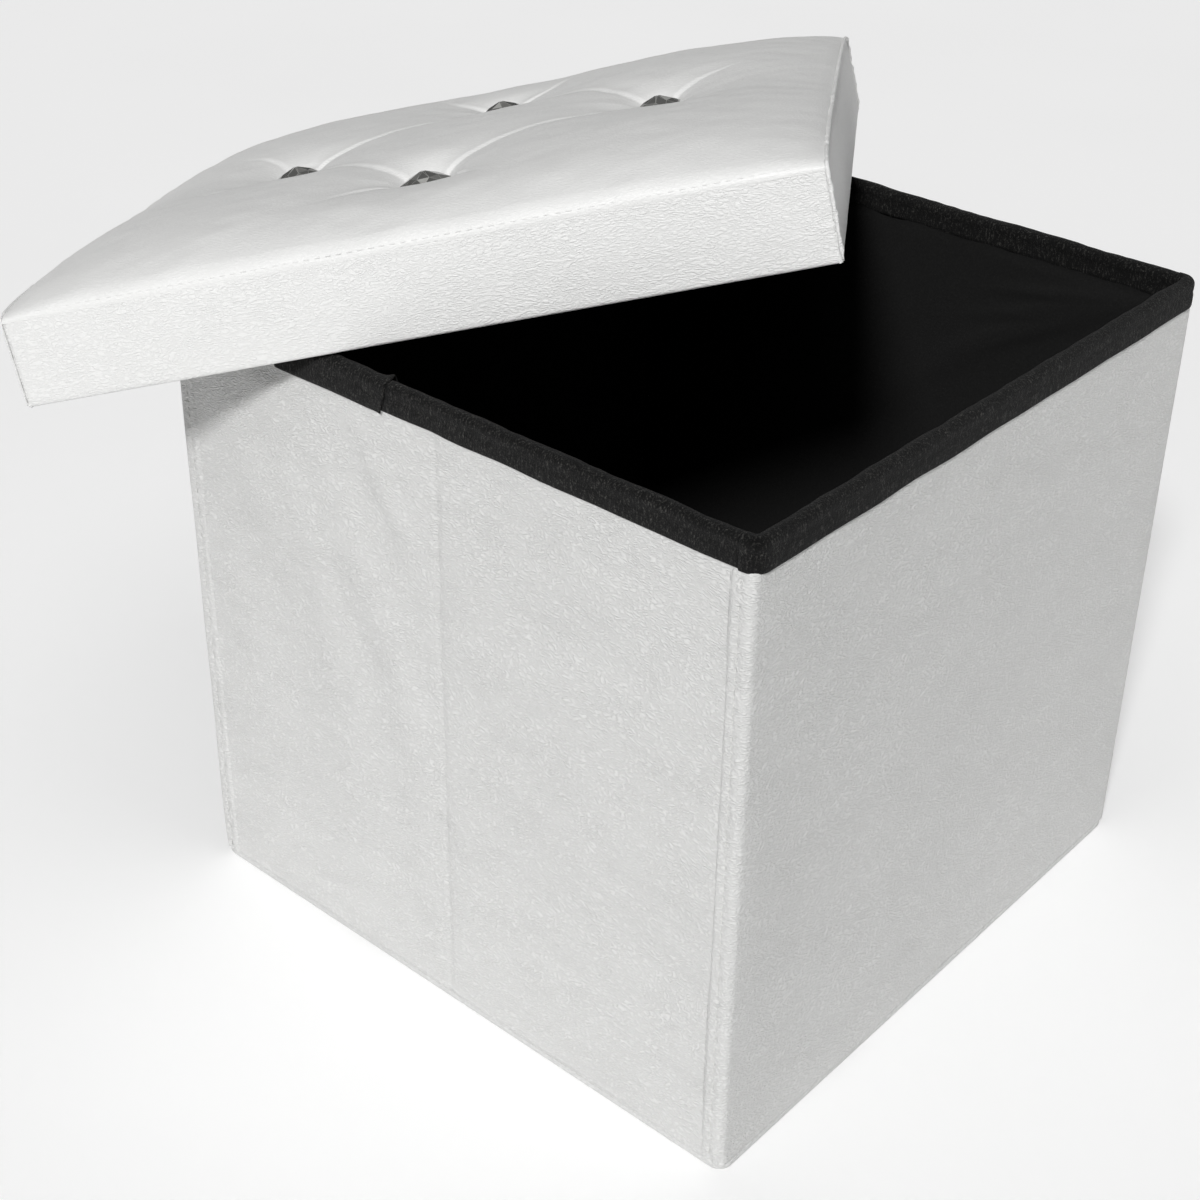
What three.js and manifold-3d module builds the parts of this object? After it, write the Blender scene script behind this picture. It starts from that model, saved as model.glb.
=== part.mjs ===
// Foldable storage ottoman: a cube of six padded wall panels that folds flat, with a tufted lift-off lid
// that lies askew on the open box. Millimetres, +Z up, origin at the centre of the underside.
// The front wall (-Y) and the back wall (+Y) are whole panels. The left and right walls are each two
// panels with a fold between them, which turns inwards when the box is collapsed.
import * as THREE from "three";
import { mergeVertices } from "three/addons/utils/BufferGeometryUtils.js";
import Module from "manifold-3d";

const wasm = await Module();
wasm.setup();

// ---- driving dimensions ----
const BOX_SIDE = 358; // outer leather face to outer leather face
const RIM_HEIGHT = 343; // floor to the top of the fabric binding
const LID_SIDE = 380;

const LEATHER = 1.0;
const CORE = 2.6;
const LINING = 0.6;
const GAP = 0.3; // between touching pieces
const WALL = LEATHER + CORE + LINING + 2 * GAP;

const BASE_COVER = 0.6;
const BASE_BOARD = 2.4;
const BASE_LINING = 0.6;
const BASE_GAP = 0.2;
const BASE_INSET = 1.5;
const BASE_CORNER = 5; // clipped off the corners of the base
const WALL_BOTTOM = BASE_COVER + BASE_BOARD + BASE_LINING + 2 * BASE_GAP + GAP;

const BINDING_HEIGHT = 15;
const BINDING_OUT = 0.9; // thickness outside the leather
const BINDING_IN = 0.8; // thickness inside the lining
const BINDING_TOP = 1.4; // thickness over the wall's edge
const CORNER_WRAP = 13; // width of the front and back leather folded round each corner
const CORE_CHAMFER = 2.4; // off the outer upright edges of the front and back boards
const CORE_CORNER = 5; // clipped off their lower corners
const FOLD_HALF_GAP = 0.5; // from the middle of a side wall to the end of each of its panels

// The corner pivot lines stand in from the leather, clear of the inner faces that close on each other.
const INNER_PIVOT = WALL + BINDING_IN + 2 * GAP;

const LID_SKIRT = 41.5; // lower edge to the top seam
const LID_BOARD = 2.8;
const LID_BOARD_BOTTOM = LID_SKIRT - GAP - LID_BOARD;
const SKIRT_BOARD = 3;
const LID_LINING = 0.6;
const LID_LINING_BOTTOM = 36.4;
const CROWN = 24; // rise of the cushion above the seam
const DOME_CELLS = 14;

const BUTTON_REACH = 100; // from the lid's centre to each button, as laid out
const BUTTON_RADIUS = 13.5;
const BUTTON_SEAT = LID_SKIRT + 9.5;
const CRYSTAL_FACETS = 10;
const STEM_RADIUS = 1.5;
const WASHER_RADIUS = 9;

// The lid lies turned on the open box: it rests on the left rim and on the box's back left corner.
const LID_POSITION = new THREE.Vector3(0.5, 133.3, 328.0);
const LID_TURN = -56.5;
const LID_PITCH = -8.4;
const LID_ROLL = -14.2;

const HALF = BOX_SIDE / 2;
const LID_HALF = LID_SIDE / 2;

// ---- materials ----
const paint = (color, roughness, metalness = 0) =>
  new THREE.MeshStandardMaterial({ color, roughness, metalness });
const whiteLeather = paint(0xe9e9e7, 0.5);
const blackFabric = paint(0x161616, 0.95);
const blackBinding = paint(0x2c2c2a, 0.9);
const board = paint(0xb39b74, 0.85);
const foam = paint(0xf0e6b8, 0.95);
const crystalGlass = paint(0xc8ccd2, 0.05, 0.4);
const metal = paint(0xb9bbc0, 0.25, 1);

// ---- geometry helpers ----
function box(x0, x1, y0, y1, z0, z1) {
  const g = new THREE.BoxGeometry(x1 - x0, y1 - y0, z1 - z0);
  return g.translate((x0 + x1) / 2, (y0 + y1) / 2, (z0 + z1) / 2);
}

function disc(radius, z0, z1, x = 0, y = 0, sides = 24) {
  const g = new THREE.CylinderGeometry(radius, radius, z1 - z0, sides);
  return g.rotateX(Math.PI / 2).translate(x, y, (z0 + z1) / 2);
}

// A square bar along Z, set on its corner: it cuts a bevel whose legs are leg long.
function squareBar(leg, length) {
  const side = leg * Math.SQRT2;
  return new THREE.BoxGeometry(side, side, length).rotateZ(Math.PI / 4);
}

function extrudeAlongX(shape, x0, x1) {
  // The shape's own x runs along +Y and its own y along +Z.
  const g = new THREE.ExtrudeGeometry(shape, { depth: x1 - x0, bevelEnabled: false, curveSegments: 5 });
  return g.rotateX(Math.PI / 2).rotateZ(Math.PI / 2).translate(x0, 0, 0);
}

function toSolid(geometry) {
  const bare = geometry.index ? geometry.toNonIndexed() : geometry.clone();
  bare.deleteAttribute("normal");
  bare.deleteAttribute("uv");
  const merged = mergeVertices(bare, 1e-3);
  return new wasm.Manifold(
    new wasm.Mesh({
      numProp: 3,
      vertProperties: merged.attributes.position.array,
      triVerts: new Uint32Array(merged.index.array),
    }),
  );
}

function toGeometry(solid) {
  const made = solid.getMesh();
  const g = new THREE.BufferGeometry();
  g.setAttribute("position", new THREE.BufferAttribute(new Float32Array(made.vertProperties), 3));
  g.setIndex(new THREE.BufferAttribute(new Uint32Array(made.triVerts), 1));
  g.computeVertexNormals();
  return g;
}

function cut(geometry, ...tools) {
  return toGeometry(tools.reduce((left, tool) => left.subtract(toSolid(tool)), toSolid(geometry)));
}

function join(...pieces) {
  return toGeometry(pieces.map(toSolid).reduce((all, piece) => all.add(piece)));
}

function piece(name, geometry, material, group) {
  const mesh = new THREE.Mesh(geometry, material);
  mesh.name = name;
  group.add(mesh);
  return mesh;
}

// ---- walls ----
// A wall is drawn as if it were the front one: it runs along X from x0 to x1 and its outer leather face
// is at y = -HALF. turn stands it on its own side.
const coreTop = RIM_HEIGHT - BINDING_TOP - GAP;

function bindingOutline(outer, inner, bottom, round) {
  const shape = new THREE.Shape();
  shape.moveTo(outer, bottom);
  shape.lineTo(inner, bottom);
  shape.lineTo(inner, RIM_HEIGHT - round);
  shape.absarc(inner - round, RIM_HEIGHT - round, round, 0, Math.PI / 2, false);
  shape.lineTo(outer + round, RIM_HEIGHT);
  shape.absarc(outer + round, RIM_HEIGHT - round, round, Math.PI / 2, Math.PI, false);
  shape.closePath();
  return shape;
}

// The binding is a folded strip over the wall's top edge; cornerEnds closes its ends over a box corner.
function bindingGeometry(x0, x1, cornerEnds) {
  const outer = -HALF - GAP - BINDING_OUT;
  const inner = -HALF + WALL + GAP + BINDING_IN;
  const strip = extrudeAlongX(
    bindingOutline(outer, inner, RIM_HEIGHT - BINDING_HEIGHT, 2.5),
    cornerEnds ? x0 - GAP - BINDING_OUT : x0,
    cornerEnds ? x1 + GAP + BINDING_OUT : x1,
  );
  const past = cornerEnds ? GAP : 1;
  const slot = box(
    x0 - past, x1 + past,
    -HALF - GAP, -HALF + WALL + GAP,
    RIM_HEIGHT - BINDING_HEIGHT - 1, coreTop + GAP,
  );
  return cut(strip, slot);
}

function leatherGeometry(x0, x1, wrapsCorners) {
  const sheet = box(x0, x1, -HALF, -HALF + LEATHER, WALL_BOTTOM, coreTop);
  if (!wrapsCorners) return sheet;
  const wrapTop = RIM_HEIGHT - BINDING_HEIGHT - GAP;
  const wraps = [-1, 1].map((side) => {
    const faces = [side * (HALF + GAP), side * (HALF + GAP + LEATHER)];
    return box(Math.min(...faces), Math.max(...faces), -HALF, -HALF + CORNER_WRAP, WALL_BOTTOM, wrapTop);
  });
  const reach = HALF + GAP + LEATHER;
  const bridge = box(-reach, reach, -HALF, -HALF + LEATHER, WALL_BOTTOM, wrapTop);
  return join(sheet, bridge, ...wraps);
}

// The board of a wall; a whole wall's board is eased at its upright edges and lower corners.
function coreGeometry(x0, x1, face, isWhole) {
  const plate = box(x0, x1, face, face + CORE, WALL_BOTTOM, coreTop);
  if (!isWhole) return plate;
  const tools = [-1, 1].flatMap((side) => {
    const edge = squareBar(CORE_CHAMFER, RIM_HEIGHT * 2);
    const corner = squareBar(CORE_CORNER, CORE * 8).rotateX(Math.PI / 2);
    return [edge.translate(side * x1, face, 0), corner.translate(side * x1, face, WALL_BOTTOM)];
  });
  return cut(plate, ...tools);
}

function wall(name, x0, x1, isWhole, turn, group) {
  const coreFace = -HALF + LEATHER + GAP;
  const liningFace = coreFace + CORE + GAP;
  const parts = [
    ["core", coreGeometry(x0, x1, coreFace, isWhole), board],
    ["leather", leatherGeometry(x0, x1, isWhole), whiteLeather],
    ["lining", box(x0, x1, liningFace, liningFace + LINING, WALL_BOTTOM, coreTop), blackFabric],
    ["binding", bindingGeometry(x0, x1, isWhole), blackBinding],
  ];
  for (const [part, geometry, material] of parts) {
    piece(name + "_" + part, geometry, material, group).rotation.z = turn;
  }
}

function addWalls(group) {
  // A side panel starts clear of the whole wall's binding and ends just short of the middle fold.
  const sideStart = HALF - WALL - BINDING_IN - 2 * GAP;
  wall("front", -HALF, HALF, true, 0, group);
  wall("back", -HALF, HALF, true, Math.PI, group);
  wall("left_front", FOLD_HALF_GAP, sideStart, false, -Math.PI / 2, group);
  wall("left_back", -sideStart, -FOLD_HALF_GAP, false, -Math.PI / 2, group);
  wall("right_front", -sideStart, -FOLD_HALF_GAP, false, Math.PI / 2, group);
  wall("right_back", FOLD_HALF_GAP, sideStart, false, Math.PI / 2, group);
}

// ---- base ----
function basePlate(z0, z1) {
  const half = HALF - BASE_INSET;
  const corners = [[-1, -1], [1, -1], [1, 1], [-1, 1]].map(([x, y]) =>
    squareBar(BASE_CORNER, z1 * 4).translate(x * half, y * half, 0),
  );
  return cut(box(-half, half, -half, half, z0, z1), ...corners);
}

function addBase(group) {
  const boardBottom = BASE_COVER + BASE_GAP;
  const liningBottom = boardBottom + BASE_BOARD + BASE_GAP;
  piece("base_cover", basePlate(0, BASE_COVER), blackFabric, group);
  piece("base_board", basePlate(boardBottom, boardBottom + BASE_BOARD), board, group);
  const inside = HALF - INNER_PIVOT;
  const lining = box(-inside, inside, -inside, inside, liningBottom, liningBottom + BASE_LINING);
  piece("base_lining", lining, blackFabric, group);
}

// ---- lid, in its own frame: z = 0 at the skirt's lower edge, front edge towards -Y ----
// The buttons are sewn by hand, each a few millimetres off its corner of the square.
const buttonPlaces = [
  ["left", -BUTTON_REACH + 2, 1],
  ["front", -5, -BUTTON_REACH + 3],
  ["right", BUTTON_REACH - 1, 1],
  ["back", -3, BUTTON_REACH + 1],
];

function crownHeight(x, y, half) {
  const across = (v) => Math.pow(1 - Math.pow(Math.min(1, Math.abs(v) / half), 3), 0.55);
  return CROWN * across(x) * across(y);
}

// A closed pillow from z = floor up to the crown lowered by drop.
function dome(half, floor, drop) {
  const cells = DOME_CELLS;
  const steps = Array.from({ length: cells + 1 }, (_, i) => -Math.cos((Math.PI * i) / cells) * half);
  const rim = LID_SKIRT + GAP + LEATHER;
  const points = [];
  for (const top of [true, false]) {
    for (const y of steps) {
      for (const x of steps) points.push(x, y, top ? rim + crownHeight(x, y, half) - drop : floor);
    }
  }
  const row = cells + 1;
  const below = row * row;
  const faces = [];
  const quad = (a, b, c, d) => faces.push(a, b, c, a, c, d);
  for (let j = 0; j < cells; j++) {
    for (let i = 0; i < cells; i++) {
      const a = j * row + i;
      quad(a, a + 1, a + row + 1, a + row);
      quad(below + a, below + a + row, below + a + row + 1, below + a + 1);
    }
    const right = j * row + cells;
    const back = cells * row + j;
    quad(below + j, below + j + 1, j + 1, j);
    quad(below + right, below + right + row, right + row, right);
    quad(back, back + 1, below + back + 1, below + back);
    quad(j * row, (j + 1) * row, below + (j + 1) * row, below + j * row);
  }
  const g = new THREE.BufferGeometry();
  g.setAttribute("position", new THREE.Float32BufferAttribute(points, 3));
  g.setIndex(faces);
  return g;
}

// The funnel that a button pulls into the cushion, grown by clear on every side.
function dimple(x, y, clear) {
  const seat = BUTTON_SEAT - clear;
  const rise = LID_SKIRT + CROWN + 8 - seat;
  const throat = BUTTON_RADIUS + 1.5 + clear;
  const profile = [
    new THREE.Vector2(0, 0),
    new THREE.Vector2(throat, 0),
    new THREE.Vector2(throat + 4, 4),
    new THREE.Vector2(throat + 26, rise),
    new THREE.Vector2(0, rise),
  ];
  return new THREE.LatheGeometry(profile, 20).rotateX(Math.PI / 2).translate(x, y, seat);
}

function stemHoles(radius, z0, z1) {
  return buttonPlaces.map(([, x, y]) => disc(radius, z0, z1, x, y, 16));
}

function addCushion(group) {
  const dimples = (clear) => buttonPlaces.map(([, x, y]) => dimple(x, y, clear));
  const outside = cut(dome(LID_HALF, LID_SKIRT + GAP, 0), ...dimples(0));
  const insideHalf = LID_HALF - LEATHER;
  const inside = cut(dome(insideHalf, LID_SKIRT - 1, LEATHER), ...dimples(LEATHER));
  const holes = stemHoles(STEM_RADIUS + 1, LID_SKIRT - 5, LID_SKIRT + CROWN);
  piece("lid_top_leather", cut(outside, inside, ...holes), whiteLeather, group);

  const foamHalf = insideHalf - 2 * GAP;
  const pad = dome(foamHalf, LID_SKIRT + GAP, LEATHER + 3 * GAP);
  piece("lid_foam", cut(pad, ...dimples(LEATHER + GAP), ...holes), foam, group);
}

function addButtons(group) {
  const crystalBase = BUTTON_SEAT + 1.3;
  const profile = [
    [0, 0],
    [BUTTON_RADIUS, 0],
    [BUTTON_RADIUS, 1.2],
    [BUTTON_RADIUS * 0.45, 6],
    [0, 6],
  ].map(([r, z]) => new THREE.Vector2(r, z));
  const washerTop = LID_BOARD_BOTTOM - GAP;
  for (const [side, x, y] of buttonPlaces) {
    const crystal = new THREE.LatheGeometry(profile, CRYSTAL_FACETS).rotateX(Math.PI / 2);
    piece("crystal_" + side, crystal.translate(x, y, crystalBase), crystalGlass, group);
    const cup = disc(BUTTON_RADIUS + 0.6, BUTTON_SEAT + GAP, crystalBase - GAP, x, y);
    const stem = disc(STEM_RADIUS, washerTop - 0.5, BUTTON_SEAT + GAP + 0.2, x, y, 12);
    piece("button_cup_" + side, join(cup, stem), metal, group);
    const washer = disc(WASHER_RADIUS, washerTop - 0.9, washerTop, x, y);
    const hole = disc(STEM_RADIUS + GAP, washerTop - 2, washerTop + 1, x, y, 12);
    piece("button_washer_" + side, cut(washer, hole), metal, group);
  }
}

function addSkirt(group) {
  const sides = ["front", "right", "back", "left"];
  const boardFace = LID_HALF - LEATHER - GAP;
  const boardTop = LID_BOARD_BOTTOM - GAP;
  sides.forEach((side, i) => {
    const turn = (i * Math.PI) / 2;
    // Each side overlaps the start of the next one, so that all four are alike.
    const leather = box(-LID_HALF, LID_HALF - LEATHER - GAP, -LID_HALF, -LID_HALF + LEATHER, 0, LID_SKIRT);
    piece("lid_leather_" + side, leather, whiteLeather, group).rotation.z = turn;
    const stiffener = box(
      -boardFace, boardFace - SKIRT_BOARD - GAP,
      -boardFace, -boardFace + SKIRT_BOARD,
      0.8, boardTop,
    );
    piece("lid_skirt_board_" + side, stiffener, board, group).rotation.z = turn;
  });
  const plateTop = LID_BOARD_BOTTOM + LID_BOARD;
  const plate = box(-boardFace, boardFace, -boardFace, boardFace, LID_BOARD_BOTTOM, plateTop);
  const holes = stemHoles(STEM_RADIUS + 1, LID_BOARD_BOTTOM - 1, LID_SKIRT);
  piece("lid_board", cut(plate, ...holes), board, group);

  const trayHalf = boardFace - SKIRT_BOARD - GAP;
  const hollowHalf = trayHalf - LID_LINING;
  const tray = box(-trayHalf, trayHalf, -trayHalf, trayHalf, 0.8, LID_LINING_BOTTOM + LID_LINING);
  const hollow = box(-hollowHalf, hollowHalf, -hollowHalf, hollowHalf, 0, LID_LINING_BOTTOM);
  piece("lid_lining", cut(tray, hollow), blackFabric, group);
}

function makeLid() {
  const lid = new THREE.Group();
  lid.position.copy(LID_POSITION);
  const [pitch, roll, turn] = [LID_PITCH, LID_ROLL, LID_TURN].map(THREE.MathUtils.degToRad);
  lid.rotation.set(pitch, roll, turn, "ZXY");
  addSkirt(lid);
  addCushion(lid);
  addButtons(lid);
  return lid;
}

const ottoman = new THREE.Group();
ottoman.name = "storage_ottoman";
addBase(ottoman);
addWalls(ottoman);
ottoman.add(makeLid());

export default ottoman;
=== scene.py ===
import math

import bpy
import numpy as np
from mathutils import Matrix, Vector


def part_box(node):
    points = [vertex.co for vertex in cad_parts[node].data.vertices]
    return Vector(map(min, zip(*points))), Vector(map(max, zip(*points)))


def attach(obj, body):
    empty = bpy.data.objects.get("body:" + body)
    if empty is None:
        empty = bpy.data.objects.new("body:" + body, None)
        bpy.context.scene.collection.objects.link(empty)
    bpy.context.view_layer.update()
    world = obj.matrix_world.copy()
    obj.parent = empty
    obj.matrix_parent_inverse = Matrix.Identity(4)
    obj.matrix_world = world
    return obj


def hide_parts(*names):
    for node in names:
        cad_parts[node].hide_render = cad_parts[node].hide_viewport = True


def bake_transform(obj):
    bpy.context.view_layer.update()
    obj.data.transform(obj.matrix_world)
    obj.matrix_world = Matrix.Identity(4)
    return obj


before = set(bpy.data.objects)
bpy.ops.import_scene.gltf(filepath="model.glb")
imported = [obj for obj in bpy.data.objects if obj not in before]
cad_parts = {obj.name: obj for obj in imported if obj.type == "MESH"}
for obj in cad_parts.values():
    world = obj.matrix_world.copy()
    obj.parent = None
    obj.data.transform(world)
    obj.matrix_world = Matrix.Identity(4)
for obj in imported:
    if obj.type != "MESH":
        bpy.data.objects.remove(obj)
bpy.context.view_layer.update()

MM = 0.001

# ---- places of the box, all read from the CAD frame ----
core_lo, core_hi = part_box("front_core")
binding_lo, binding_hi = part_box("front_binding")
lining_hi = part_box("front_lining")[1]
side_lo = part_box("left_front_leather")[0]

HALF = core_hi.x                       # outer leather face of each wall, from the middle
WALL_BOTTOM = core_lo.z
RIM = binding_hi.z
BINDING_BOTTOM = binding_lo.z
LEATHER_TOP = BINDING_BOTTOM + 2 * MM  # tucked just inside the binding
LINING_TOP = core_hi.z - 4 * MM
BINDING_OUT = binding_hi.x             # outermost face of the binding
BINDING_THICK = binding_hi.y - binding_lo.y
LINING_FACE = -lining_hi.y             # the lining's face inside the box
SIDE_START = -side_lo.y                # a side panel runs from here to the middle
LEATHER_SHEET = 0.8 * MM               # thickness of the visible leather skins
WRAP_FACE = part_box("front_leather")[1].x  # outer face of the wraps round the corners
WRAP_WIDTH = 13 * MM                   # how far the wraps reach onto the side walls
CORNER_SEAM = 7.2 * MM                 # the wraps are sewn down this far in from the corner

# ---- mesh helpers ----
def mesh_object(name, points, faces, material, smooth=True):
    mesh = bpy.data.meshes.new(name)
    mesh.from_pydata([tuple(p) for p in points], [], faces)
    mesh.update()
    if smooth:
        mesh.polygons.foreach_set("use_smooth", [True] * len(mesh.polygons))
    obj = bpy.data.objects.new(name, mesh)
    bpy.context.scene.collection.objects.link(obj)
    if material is not None:
        mesh.materials.append(material)
    return obj


def grid_faces(rows, columns):
    """Quads of a grid of points, columns running fastest."""
    faces = []
    for j in range(rows - 1):
        below = (j + 1) * columns
        for i in range(columns - 1):
            a = j * columns + i
            faces.append((a, a + 1, below + i + 1, below + i))
    return faces


def sheet(name, points, material, thickness=0.0):
    """A smooth sheet from a (rows, columns, 3) grid, thickened towards its back."""
    rows, columns = points.shape[:2]
    obj = mesh_object(name, points.reshape(-1, 3), grid_faces(rows, columns), material)
    if thickness:
        solid = obj.modifiers.new("thickness", "SOLIDIFY")
        solid.thickness = thickness
        solid.offset = -1
    return obj


def bump_field(x, y, folds):
    """Sum of long soft folds. In millimetres and degrees, each fold is
    (centre x, centre y, direction, length, width, height)."""
    total = np.zeros_like(x)
    for cx, cy, degrees, length, width, height in folds:
        c, s = math.cos(math.radians(degrees)), math.sin(math.radians(degrees))
        along = (x - cx * MM) * c + (y - cy * MM) * s
        across = -(x - cx * MM) * s + (y - cy * MM) * c
        total += height * MM * np.exp(-(along / (length * MM)) ** 2 - (across / (width * MM)) ** 2)
    return total


def waves(x, y, seed, count, wavelength, height):
    """A smooth random field from a few sine waves, the same each run for a seed."""
    r = np.random.default_rng(seed)
    total = np.zeros_like(x)
    for _ in range(count):
        angle = r.uniform(0, 2 * math.pi)
        k = 2 * math.pi / (wavelength * r.uniform(0.7, 1.5))
        phase = r.uniform(0, 2 * math.pi)
        total += np.sin(k * (x * math.cos(angle) + y * math.sin(angle)) + phase)
    return total * height / count


def smoothstep(t):
    t = np.clip(t, 0, 1)
    return t * t * (3 - 2 * t)


def bell(distance, width):
    return np.exp(-(distance / width) ** 2)


def near_rim(z, reach):
    """Rises from 0 at some reach below the binding's lower edge to 1 at that edge."""
    return smoothstep((z - BINDING_BOTTOM + reach) / reach)


def lengths_along(points):
    """The distance run along a line, at each of its points."""
    gaps = np.linalg.norm(np.diff(points, axis=0), axis=1)
    return np.concatenate([[0], np.cumsum(gaps)])


def at_length(places, run, points):
    """The points of a line at some distances along it."""
    return np.stack([np.interp(places, run, points[:, k]) for k in range(3)], -1)


# ---- materials ----
class Nodes:
    """A small helper round a material's node tree."""

    def __init__(self, name):
        self.material = bpy.data.materials.new(name)
        self.material.use_nodes = True
        self.tree = self.material.node_tree
        self.shader = self.tree.nodes["Principled BSDF"]

    def feed(self, socket, value):
        """Link an output to the socket, or set a plain value on it."""
        if isinstance(value, bpy.types.NodeSocket):
            self.tree.links.new(value, socket)
        else:
            socket.default_value = value

    def add(self, kind, **inputs):
        node = self.tree.nodes.new(kind)
        for key, value in inputs.items():
            self.feed(node.inputs[key.replace("_", " ")], value)
        return node

    def math(self, operation, a, b=0.0):
        node = self.tree.nodes.new("ShaderNodeMath")
        node.operation = operation
        self.feed(node.inputs[0], a)
        self.feed(node.inputs[1], b)
        return node.outputs[0]

    def mix(self, factor, a, b):
        node = self.tree.nodes.new("ShaderNodeMix")
        node.data_type = "RGBA"
        self.feed(node.inputs[0], factor)
        self.feed(node.inputs[6], a)
        self.feed(node.inputs[7], b)
        return node.outputs[2]

    def link(self, output, name):
        self.tree.links.new(output, self.shader.inputs[name])

    def set(self, **inputs):
        for key, value in inputs.items():
            self.shader.inputs[key.replace("_", " ")].default_value = value

    def position(self, scale=(1, 1, 1), rotation=(0, 0, 0)):
        coordinates = self.tree.nodes.new("ShaderNodeTexCoord").outputs["Object"]
        turned = self.add("ShaderNodeMapping", Vector=coordinates, Rotation=rotation)
        return self.add("ShaderNodeMapping", Vector=turned.outputs[0], Scale=scale).outputs[0]

    def noise(self, vector, scale, detail=2.0, roughness=0.5, distortion=0.0):
        node = self.add(
            "ShaderNodeTexNoise", Vector=vector, Scale=scale, Detail=detail,
            Roughness=roughness, Distortion=distortion,
        )
        return node.outputs["Fac"]

    def roughness(self, value, low, high):
        node = self.add("ShaderNodeMapRange", Value=value, To_Min=low, To_Max=high)
        self.link(node.outputs[0], "Roughness")

    def bump(self, height, distance, strength=1.0, normal=None):
        node = self.add("ShaderNodeBump", Height=height, Distance=distance, Strength=strength)
        if normal is not None:
            self.tree.links.new(normal, node.inputs["Normal"])
        return node.outputs[0]


def leather_material(name, tone, stretch=(0.42, 0.42, 1.0), rotation=(0, 0, 0), depth=1.0):
    """Imitation leather: fine wrinkles drawn out along the axes whose stretch is under 1, with painted
    shade in their valleys.
    """
    n = Nodes(name)
    place = n.position(stretch, rotation)
    # The grain's lines wander, so the place is pushed about by slow noises first.
    for scale, reach in ((22.0, 0.012), (110.0, 0.0022)):
        slow = n.add("ShaderNodeTexNoise", Vector=place, Scale=scale, Detail=1.0)
        push = n.tree.nodes.new("ShaderNodeVectorMath")
        push.operation = "MULTIPLY_ADD"
        n.tree.links.new(slow.outputs["Color"], push.inputs[0])
        push.inputs[1].default_value = (reach, reach, reach)
        n.tree.links.new(place, push.inputs[2])
        place = push.outputs[0]
    ridge = n.math("ABSOLUTE", n.math("SUBTRACT", n.noise(place, 780, 1.5, 0.5), 0.5))
    creases = n.math("MINIMUM", n.math("MULTIPLY", ridge, 5.0), 0.8)
    patches = n.noise(n.position(), 45, 2.0)
    patchy = n.add("ShaderNodeMapRange", Value=patches, From_Min=0.35, From_Max=0.65, To_Min=0.7)
    creases_here = n.math("MULTIPLY", creases, patchy.outputs[0])
    pores = n.noise(n.position(), 1100, 2.0, 0.6)
    height = n.math("ADD", creases_here, n.math("MULTIPLY", pores, 0.22))
    soft = n.noise(n.position(), 26, 2.0, 0.5)
    n.link(n.bump(height, 0.00034 * depth, 0.9, n.bump(soft, 0.0010, 0.4)), "Normal")
    # Painted shade: the grain's crease valleys take the darker tone, and the slow noise mixes in random
    # wear between them.
    dark = [c * (1 - 0.09 * depth) for c in tone[:3]] + [1]
    worn = n.mix(n.math("MULTIPLY", n.noise(n.position(), 11, 3.0), 0.08), list(tone), dark)
    n.link(n.mix(n.math("MULTIPLY", creases_here, 1.5), dark, worn), "Base Color")
    n.roughness(n.noise(place, 260, 2.0), 0.40, 0.56)
    n.set(Specular_IOR_Level=0.42, Coat_Weight=0.08, Coat_Roughness=0.35)
    return n.material


def woven_material(name, dark, light, thread):
    """Black ribbed tape: ribs across the strip, broken up by fuzz, with paler thread ends."""
    n = Nodes(name)
    place = n.position((1, 1, 0.32))
    ribs = n.noise(place, 0.62 / thread, 2.0, 0.6, 0.5)
    cross = n.noise(n.position((0.4, 0.4, 1)), 0.5 / thread, 2.0, 0.6)
    fuzz = n.noise(n.position(), 0.8 / thread, 3.0, 0.7)
    height = n.math("ADD", n.math("MULTIPLY", n.math("ADD", ribs, cross), 0.6), fuzz)
    ends = n.add("ShaderNodeMapRange", Value=n.math("MULTIPLY", ribs, fuzz), From_Min=0.27, From_Max=0.45)
    patches = n.noise(n.position(), 90, 2.0)
    tone = n.math("MULTIPLY", ends.outputs[0], n.math("ADD", patches, 0.4))
    n.link(n.mix(tone, dark, light), "Base Color")
    n.link(n.bump(height, 0.0007, 0.9), "Normal")
    n.set(Roughness=0.92, Specular_IOR_Level=0.15, Sheen_Weight=0.05, Sheen_Roughness=0.6)
    return n.material


def felt_material(name, tone, fleck):
    """Black non-woven lining: short pressed fibres."""
    n = Nodes(name)
    place = n.position()
    fibres = n.noise(place, 900, 4.0, 0.7, 0.6)
    n.link(n.mix(n.math("POWER", fibres, 3.0), tone, fleck), "Base Color")
    cells = n.add("ShaderNodeTexVoronoi", Vector=place, Scale=620.0)
    height = n.math("ADD", fibres, n.math("MULTIPLY", cells.outputs["Distance"], 0.6))
    n.link(n.bump(height, 0.0004, 0.6), "Normal")
    n.set(Roughness=0.95, Specular_IOR_Level=0.12, Sheen_Weight=0.04)
    return n.material


def board_material(name):
    n = Nodes(name)
    place = n.position((1, 1, 0.4))
    fibre = n.noise(place, 300, 5.0, 0.65)
    n.link(n.mix(fibre, (0.30, 0.25, 0.19, 1), (0.46, 0.40, 0.31, 1)), "Base Color")
    n.link(n.bump(fibre, 0.0004, 0.5), "Normal")
    n.set(Roughness=0.85)
    return n.material


def crystal_material(name, low, high):
    """Cut glass over a mirrored back: one facet's painted reflection, a tone between low and high, with
    slight inner haze.
    """
    n = Nodes(name)
    haze = n.noise(n.position(), 260, 2.0)
    n.link(n.mix(haze, (low, low, low * 0.94, 1), (high, high, high * 0.97, 1)), "Base Color")
    n.roughness(n.noise(n.position(), 700), 0.05, 0.14)
    n.set(Metallic=0.4, Coat_Weight=0.6, Coat_Roughness=0.03, IOR=1.55)
    return n.material


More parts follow.
